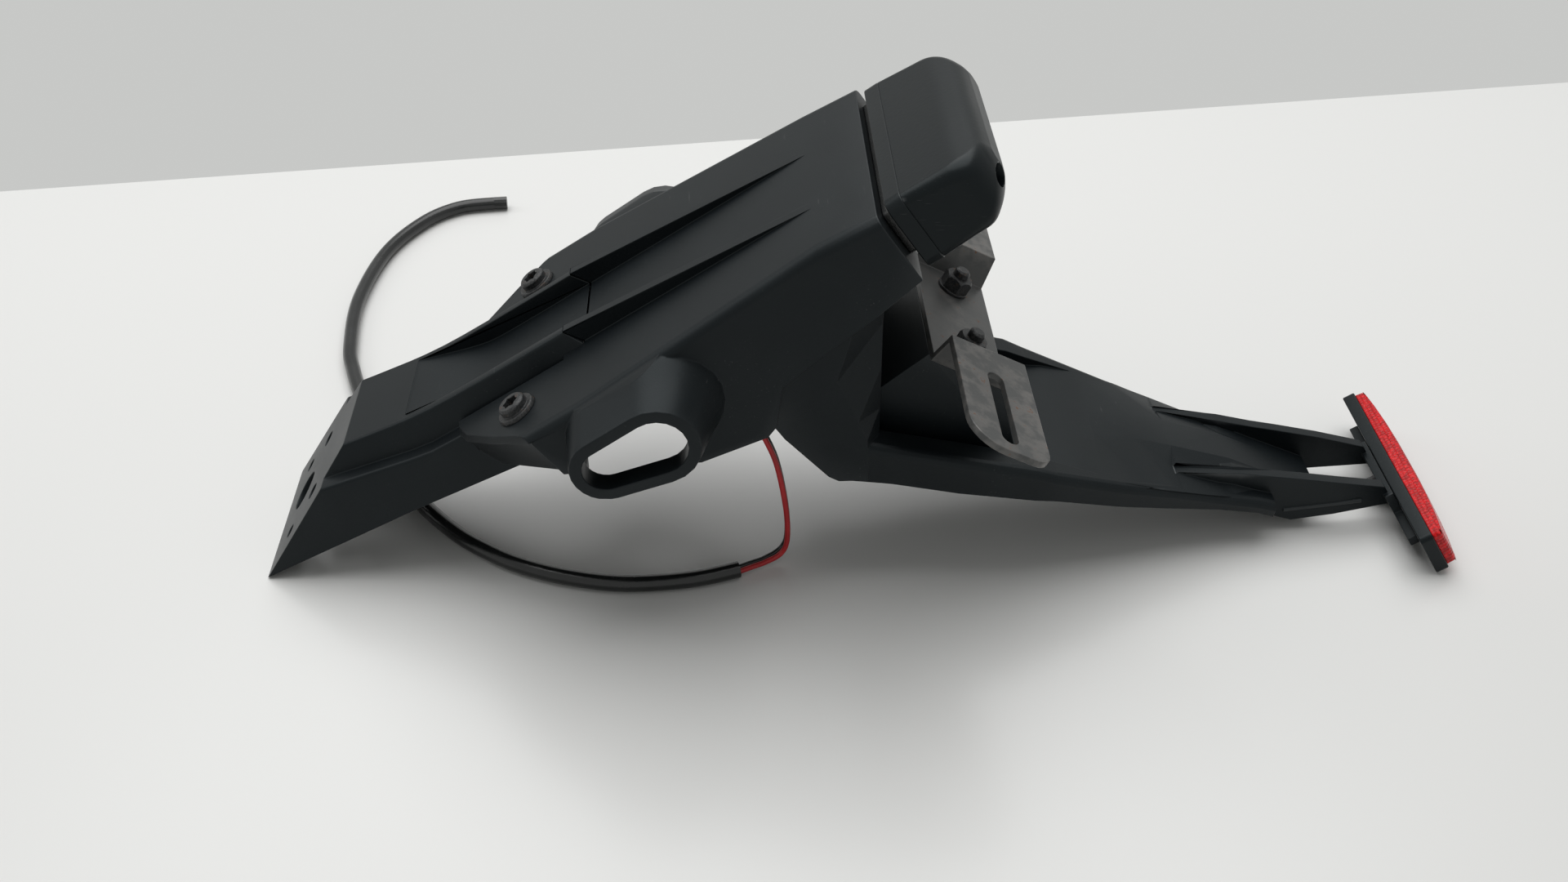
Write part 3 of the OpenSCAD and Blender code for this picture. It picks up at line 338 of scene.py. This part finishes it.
# %% Zinc plated steel
def zinc_steel():
    material, start, shader = new_finish("zinc_steel")
    where = place_on(start)
    fine = speckle(start, where, 0.7, 3.0, 0.6)
    blotch = speckle(start, where, 3.5, 3.0, 0.6)
    rust = blotch.clip(0.55, 0.66) * fine.clip(0.42, 0.6)
    colour = start.blend(fine.clip(0.3, 0.7), (0.017, 0.019, 0.021, 1), (0.055, 0.055, 0.055, 1))
    colour = start.blend(rust * 0.8, colour, (0.070, 0.032, 0.016, 1))
    feed(start, shader, Base_Color=colour, Metallic=0.5 - 0.4 * rust,
         Roughness=0.38 + 0.14 * fine + 0.25 * rust, Normal=relief(start, fine, 0.05))
    return material


# %% [markdown]
# ## Red prismatic lens
# A reflector's lens is clear red plastic with hundreds of small prisms on its back. They
# throw light back in tiny sparkles. A grid of small pyramids as a bump gives the prisms.
# The sparkles are painted: each cell gets its own painted brightness of red, and a few
# cells a painted glint brighter than the rest, without modelling each prism.


# %% Red prismatic lens
def red_lens():
    material, start, shader = new_finish("red_lens")
    where = stretched(start, place_on(start), (1, 1, 1), (0, math.radians(33), 0))
    prism = {"Vector": where, "Scale": 1 / (1.5 * millimetre), "Randomness": 0.0}
    pyramid = start.node("ShaderNodeTexVoronoi", {"distance": "MANHATTAN"}, prism)
    cell = start.node("ShaderNodeTexVoronoi", {}, {"Vector": where, "Scale": 1 / (1.1 * millimetre)},
                      "Color")
    painted_glint_cell = start.node("ShaderNodeSeparateColor", {}, {0: cell})
    cloud = speckle(start, where, 6, 2.0)
    # Painted sparkle: each prism cell gets a lighter or darker red.
    colour = start.blend(painted_glint_cell.clip(0.2, 0.9), (0.38, 0.002, 0.004, 1), (0.66, 0.004, 0.008, 1))
    # A few cells get a painted glint, brighter than the rest.
    bright = painted_glint_cell.clip(0.90, 0.96) * cloud.clip(0.45, 0.65) * 0.4
    colour = start.blend(bright, colour, (0.85, 0.06, 0.06, 1))
    feed(start, shader, Base_Color=colour, Roughness=0.22 + 0.1 * cloud,
         Normal=relief(start, pyramid, 0.25))
    shader.inputs["Coat Weight"].default_value = 0.05
    shader.inputs["IOR"].default_value = 1.3
    shader.inputs["Coat Roughness"].default_value = 0.06
    return material


# %% [markdown]
# ## Rubber, wires and clear parts
# The sheath is half glossy soft plastic with a slight ripple where it was bent. The
# wires share its recipe in other colours. The lamp's lens, bulb and foil are seen only
# from below, and keep simple clear or mirror finishes with a little unevenness.


# %% Rubber and insulation
def soft_cover(name, dark, light, rough, ripple):
    material, start, shader = new_finish(name)
    where = place_on(start)
    fine = speckle(start, where, 0.6, 3.0, 0.6)
    cloud = speckle(start, where, 12, 3.0)
    dust = speckle(start, where, 1.1, 4.0, 0.7).clip(0.62, 0.74) * cloud.clip(0.45, 0.6)
    colour = start.blend(cloud.clip(0.3, 0.7), (*dark, 1), (*light, 1))
    colour = start.blend(dust * 0.25, colour, (0.22, 0.21, 0.20, 1))
    feed(start, shader, Base_Color=colour, Roughness=rough + 0.12 * cloud + 0.06 * fine,
         Normal=relief(start, cloud * ripple + fine * 0.04, 1.0))
    return material


# %% Clear and bright parts
def clear_part(name, tint, rough, bumpy):
    material, start, shader = new_finish(name)
    flutes = start.node("ShaderNodeTexWave", {"bands_direction": "Y"},
                        {"Vector": place_on(start), "Scale": 60.0})
    haze = speckle(start, place_on(start), 4, 2.0)
    dull = (tint[0] * 0.9, tint[1] * 0.9, tint[2] * 0.88, 1)
    feed(start, shader, Base_Color=start.blend(haze, (*tint, 1), dull),
         Roughness=rough + 0.06 * haze, Normal=relief(start, flutes, bumpy))
    shader.inputs["Transmission Weight"].default_value = 0.9
    shader.inputs["IOR"].default_value = 1.49
    return material


def bright_foil():
    material, start, shader = new_finish("bright_foil")
    ripple = speckle(start, place_on(start), 5, 2.0)
    feed(start, shader, Base_Color=start.blend(ripple, (0.78, 0.78, 0.78, 1), (0.86, 0.86, 0.85, 1)),
         Metallic=1.0, Roughness=0.12 + 0.1 * ripple, Normal=relief(start, ripple, 0.2))
    return material


finishes = {
    "grained_plastic": grained_plastic(),
    "smooth_plastic": smooth_plastic(),
    "painted_steel": painted_steel(),
    "zinc_steel": zinc_steel(),
    "red_lens": red_lens(),
    "black_rubber": soft_cover("black_rubber", (0.0085, 0.0095, 0.0095), (0.015, 0.016, 0.016),
                               0.14, 0.05),
    "red_insulation": soft_cover("red_insulation", (0.40, 0.008, 0.012), (0.52, 0.014, 0.018),
                                 0.30, 0.02),
    "clear_lens": clear_part("clear_lens", (0.92, 0.93, 0.93), 0.06, 0.15),
    "bulb_glass": clear_part("bulb_glass", (0.96, 0.96, 0.94), 0.02, 0.02),
    "bright_foil": bright_foil(),
}
slots = {part["node"]: part["material_slot"] for part in frame["record"]["subparts"]}
for name, node in nodes.items():
    node.data.materials.clear()
    node.data.materials.append(finishes[slots[name]])
sheath.data.materials.append(finishes["black_rubber"])
black_wire.data.materials.append(finishes["black_rubber"])
red_wire.data.materials.append(finishes["red_insulation"])
print(len(finishes), "finishes on", len(nodes), "nodes")

# %% [markdown]
# ## Cutting tools
# Some forms are easiest to make by taking material away. A straight solid is drawn
# between two outlines and cut out of the piece, and the result is kept as a plain mesh.
# The indicator stalks need one such cut: through their eyes the photo shows the table,
# because the lower wall behind each rim is open.


# %% Cutting tools
def mesh_object(name, shape):
    """An object in the scene that holds a finished bmesh."""
    mesh = bpy.data.meshes.new(name)
    shape.to_mesh(mesh)
    shape.free()
    made = bpy.data.objects.new(name, mesh)
    bpy.context.scene.collection.objects.link(made)
    return made


def prism(name, one_end, other_end):
    """A straight solid between two outlines with the same number of points, for cutting."""
    shape = bmesh.new()
    ends = [[shape.verts.new(point) for point in outline] for outline in (one_end, other_end)]
    for i in range(len(one_end)):
        j = (i + 1) % len(one_end)
        shape.faces.new((ends[0][i], ends[0][j], ends[1][j], ends[1][i]))
    shape.faces.new(ends[0][::-1])
    shape.faces.new(ends[1])
    bmesh.ops.recalc_face_normals(shape, faces=shape.faces)
    return mesh_object(name, shape)


def cut(piece, tools):
    """Cuts each tool out of the piece for good, and removes the tools."""
    for tool in tools:
        knife = piece.modifiers.new("cut", "BOOLEAN")
        knife.operation, knife.object, knife.solver = "DIFFERENCE", tool, "EXACT"
    ready = bpy.context.evaluated_depsgraph_get()
    settled = bpy.data.meshes.new_from_object(piece.evaluated_get(ready))
    piece.modifiers.clear()
    piece.data = settled
    for tool in tools:
        bpy.data.objects.remove(tool)


def stalk_notch(side):
    """The part of a stalk's lower wall that is left open behind the rim."""
    rim_starts, front_lobe = 0.0765, 12 * millimetre
    rim = [v.co for v in nodes["rear_housing"].data.vertices if side * v.co.y > rim_starts]
    lobe_x = min(co.x for co in rim) + front_lobe
    lobe_z = min(co.z for co in rim) + front_lobe
    print("front lobe of the stalk at", round(lobe_x, 4), round(lobe_z, 4))
    outline = [(-7, -3), (-7, -20), (26.5, -20), (27.5, 4.8)]
    return prism("notch", *[[Vector((lobe_x + x * millimetre, side * y, lobe_z + z * millimetre))
                             for x, z in outline] for y in (0.0685, 0.052)])


# %% [markdown]
# ## Softened edges
# No moulded or pressed edge is as sharp as a CAD edge. Each visible piece is a copy of
# its CAD mesh with its flat faces joined again and a small bevel on the sharp edges, so
# that the edges catch a thin line of light. Weighted normals keep the big faces flat.
# The arm has shallow facets that must stay apart, so its bevel starts at a lower angle,
# and the roots of its two prongs sink into the crown, as a mould would blend them.


# %% Dress a CAD node
prong_root_x, crown_z = 344, 0.0318


def dressed(node, width, angle):
    """A bevelled copy of a CAD node that stands for it; width in millimetres, angle in degrees."""
    shape = bmesh.new()
    shape.from_mesh(nodes[node].data)
    bmesh.ops.remove_doubles(shape, verts=shape.verts, dist=2e-6)
    bmesh.ops.dissolve_limit(shape, angle_limit=math.radians(0.5), verts=shape.verts,
                             edges=shape.edges)
    if node == "lower_arm":
        root = (prong_root_x - middle_x) * millimetre
        for vert in shape.verts:
            if abs(vert.co.x - root) < 0.0006 and vert.co.z > crown_z:
                vert.co.z = crown_z
    mesh = bpy.data.meshes.new(node + "_skin")
    shape.to_mesh(mesh)
    shape.free()
    if "custom_normal" in mesh.attributes:
        mesh.attributes.remove(mesh.attributes["custom_normal"])
    mesh.materials.clear()
    mesh.materials.append(finishes[slots[node]])
    mesh.polygons.foreach_set("use_smooth", [True] * len(mesh.polygons))
    piece = bpy.data.objects.new(node + "_skin", mesh)
    bpy.context.scene.collection.objects.link(piece)
    if node == "rear_housing":
        cut(piece, [stalk_notch(-1), stalk_notch(1)])
    bevel = piece.modifiers.new("soft_edges", "BEVEL")
    bevel.limit_method, bevel.angle_limit = "ANGLE", math.radians(angle)
    bevel.width, bevel.segments = width * millimetre, 2
    bevel.use_clamp_overlap, bevel.loop_slide = node in ("bracket_nuts", "reflector_lens"), False
    flat = piece.modifiers.new("flat_faces", "WEIGHTED_NORMAL")
    flat.weight, flat.keep_sharp = 100, True
    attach(piece, "root")
    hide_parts(node)
    bpy.context.view_layer.update()
    made = piece.evaluated_get(bpy.context.evaluated_depsgraph_get())
    corners = zip(made.bound_box, nodes[node].bound_box)
    grown = max(abs(a - b) for mine, its in corners for a, b in zip(mine, its))
    print(node, "faces", len(made.data.polygons), "box moved by", round(grown * 1000, 2), "mm")
    return piece


widths = {"front_carrier": 0.4, "rear_housing": 0.4, "lower_arm": 0.3, "lamp_seal": 0.4,
          "lamp_foot": 0.5, "plate_bracket": 0.35, "bracket_nuts": 0.3,
          "bracket_washers": 0.2, "carrier_screws": 0.25, "reflector_base": 0.5,
          "reflector_lens": 0.3, "bracket_studs": 0.2}
pieces = {node: dressed(node, width, 14 if node == "lower_arm" else 24)
          for node, width in widths.items()}
print("dressed", sorted(pieces))

# %% [markdown]
# ## Lamp shell
# The lamp's body is one smooth dome. The CAD model lofts it straight through seven rings.
# Here the last rings are a little fuller, as the photo shows, and a smooth curve through
# all of them gives many thin ones. The hollow, the gap for the lens and the two deep
# screw recesses are then cut out of the solid. A ring is: how far out, the inset at the
# sides, below and above, and the radius of its corners, in millimetres.


# %% Rings of the lamp shell
lamp_origin = Vector((224 - middle_x, 0, 158.436))
lamp_lean = math.radians(35)
lamp_out = Vector((math.cos(lamp_lean), 0, math.sin(lamp_lean)))
lamp_up = Vector((-math.sin(lamp_lean), 0, math.cos(lamp_lean)))
foot_face, lamp_half, lamp_low, lamp_top = 9, 44.7, -28, -0.3
side_draft, top_draft = math.tan(math.radians(1)), math.tan(math.radians(4))
lamp_rings = [(0, 0, 0, 0, 3.5), (12, 0, 0, 0, 4.5), (19, 0, 0, 0, 5.5), (23.5, 1.5, 2.2, 1.0, 6.5),
              (26.8, 4.6, 4.4, 2.4, 8), (28.9, 8.4, 7.2, 4.6, 7.5), (30.2, 12.6, 11, 8, 5)]


def in_lamp(out, across, up):
    """A point given in the lamp's own directions, in millimetres, as a place in the frame."""
    return (lamp_origin + out * lamp_out + up * lamp_up + Vector((0, across, 0))) * millimetre


def lamp_solid(name, inset, steps):
    """A smooth solid through the lamp's rings, shrunk by an inset."""
    used = lamp_rings if inset == 0 else lamp_rings[:-1]
    fine = []
    for i in range(len(used) - 1):
        a, b, c, d = (used[k] for k in (max(0, i - 1), i, i + 1, min(len(used) - 1, i + 2)))
        for j in range(steps):
            t = j / steps
            fine.append([(2 * b[k] + (c[k] - a[k]) * t + (2 * a[k] - 5 * b[k] + 4 * c[k] - d[k]) * t * t
                          + (3 * b[k] - a[k] - 3 * c[k] + d[k]) * t ** 3) / 2 for k in range(5)])
    fine.append(list(used[-1]))
    shape = bmesh.new()
    loops = []
    for number, (out, side, under, top, round_r) in enumerate(fine):
        out = (-1 if number == 0 else out - inset) if inset else out
        half = lamp_half - side_draft * out - side - inset
        low, high = lamp_low + under + inset, lamp_top - top_draft * out - top - inset
        r = max(0.4, min(round_r - inset, (high - low) / 2 - 0.2))
        loop = []
        corners = ((half - r, low + r, -90), (half - r, high - r, 0),
                   (r - half, high - r, 90), (r - half, low + r, 180))
        for y, z, turn in corners:
            for step in range(9):
                way = math.radians(turn + 90 * step / 8)
                across, up = y + r * math.cos(way), z + r * math.sin(way)
                loop.append(shape.verts.new(in_lamp(foot_face + out, across, up)))
        loops.append(loop)
    for one, other in zip(loops, loops[1:]):
        for i in range(len(one)):
            j = (i + 1) % len(one)
            shape.faces.new((one[i], one[j], other[j], other[i]))
    shape.faces.new(loops[0][::-1])
    shape.faces.new(loops[-1])
    bmesh.ops.recalc_face_normals(shape, faces=shape.faces)
    return mesh_object(name, shape)


def lamp_prism(name, points, out_low, out_high):
    """A straight block or rod along the lamp's out direction, for cutting."""
    return prism(name, *[[in_lamp(out, y, z) for y, z in points] for out in (out_low, out_high)])


# %% Lamp shell
lamp_shell = lamp_solid("lamp_shell", 0, 5)
hollow = lamp_solid("lamp_hollow", 2, 2)
screw_sides, screw_up, recess_radius = (-35.2, 35.2), -17, 3.8
cut(hollow, [lamp_prism("boss", [(y - 5, -24), (y + 5, -24), (y + 5, -12), (y - 5, -12)], 6, 45)
             for y in screw_sides])
turns = [math.radians(15 * k) for k in range(24)]
recess = [(recess_radius * math.cos(way), recess_radius * math.sin(way)) for way in turns]
rods = [lamp_prism("recess", [(y + a, b + screw_up) for a, b in recess], 21.8, 46)
        for y in screw_sides]
gap = lamp_prism("gap", [(-26.2, -40), (26.2, -40), (26.2, -16.8), (-26.2, -16.8)], 13.8, 29.2)
cut(lamp_shell, [hollow, gap] + rods)
lamp_shell.data.materials.clear()
lamp_shell.data.materials.append(finishes[slots["lamp_body"]])
lamp_shell.data.polygons.foreach_set("use_smooth", [True] * len(lamp_shell.data.polygons))
rim = lamp_shell.modifiers.new("soft_edges", "BEVEL")
rim.limit_method, rim.angle_limit = "ANGLE", math.radians(40)
rim.width, rim.segments = 0.3 * millimetre, 2
flat = lamp_shell.modifiers.new("flat_faces", "WEIGHTED_NORMAL")
flat.weight, flat.keep_sharp = 60, True
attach(lamp_shell, "root")
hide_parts("lamp_body")
print("lamp shell faces", len(lamp_shell.data.polygons),
      "span", [round(v, 4) for v in lamp_shell.dimensions])

# %% [markdown]
# ## Table and light
# The photo was taken on a white desk against a white wall under soft room light that
# comes mostly from above and behind. A pale, half glossy plane is the desk. It ends where
# the wall stands, and the colour of the world is the wall. Rays that go straight to the
# camera or are mirrored see the world as the wall, and all other rays get a weaker fill,
# so that the shadows under the object stay.


# %% Table
def pale_plane(name, corners, near_tone, far_tone, rough):
    """A flat piece of the stage whose tone rises from its front to its back; the darker front is
    painted shade, where the room light falls off.
    """
    mesh = bpy.data.meshes.new(name)
    mesh.from_pydata([Vector(c) for c in corners], [], [(0, 1, 2, 3)])
    plane = bpy.data.objects.new(name, mesh)
    bpy.context.scene.collection.objects.link(plane)
    material, start, shader = new_finish(name)
    place = start.node("ShaderNodeSeparateXYZ", {}, {0: place_on(start)}, "Y")
    # Painted shade: the front of the plane is a little darker than its back.
    feed(start, shader, Roughness=rough,
         Base_Color=start.blend(place.clip(-0.40, 0.25), (near_tone, near_tone, near_tone * 0.985, 1),
                                (far_tone, far_tone, far_tone * 0.985, 1)))
    mesh.materials.append(material)
    return plane


table_side, table_front, table_top = 0.85, -0.55, -0.0004
wall_at_left, wall_at_right = 0.2319, 0.4347
table = pale_plane("table", [(-table_side, table_front, table_top),
                             (table_side, table_front, table_top),
                             (table_side, wall_at_right, table_top),
                             (-table_side, wall_at_left, table_top)], 0.70, 0.76, 0.28)
print("table", [round(v, 2) for v in table.dimensions])


# %% Lamps and world
def soft_lamp(name, place, size, power, aim=(0, 0, 0.05)):
    data = bpy.data.lights.new(name, "AREA")
    data.shape, data.size, data.energy = "DISK", size, power
    lamp = bpy.data.objects.new(name, data)
    bpy.context.scene.collection.objects.link(lamp)
    lamp.location = place
    lamp.rotation_euler = (Vector(aim) - Vector(place)).to_track_quat("-Z", "Y").to_euler()
    return lamp


soft_lamp("ceiling_lamp", (-0.1, 0.5, 1.6), 2.2, 29)
soft_lamp("window_left", (-2.0, 0.5, 1.3), 0.9, 4)
world = bpy.data.worlds.new("room")
bpy.context.scene.world = world
world.use_nodes = True
world.node_tree.nodes["Background"].inputs["Color"].default_value = (0.98, 0.99, 0.97, 1)
wall_glow, fill = 0.585, 0.35
room = Wire(world.node_tree)
direct = room.node("ShaderNodeLightPath", output="Is Camera Ray")
mirrored = room.node("ShaderNodeLightPath", output="Is Glossy Ray")
seen = direct.sum("MAXIMUM", direct, mirrored)
room.tree.links.new((fill + (wall_glow - fill) * seen).socket,
                    world.node_tree.nodes["Background"].inputs["Strength"])
bpy.context.scene.view_settings.view_transform = "Standard"
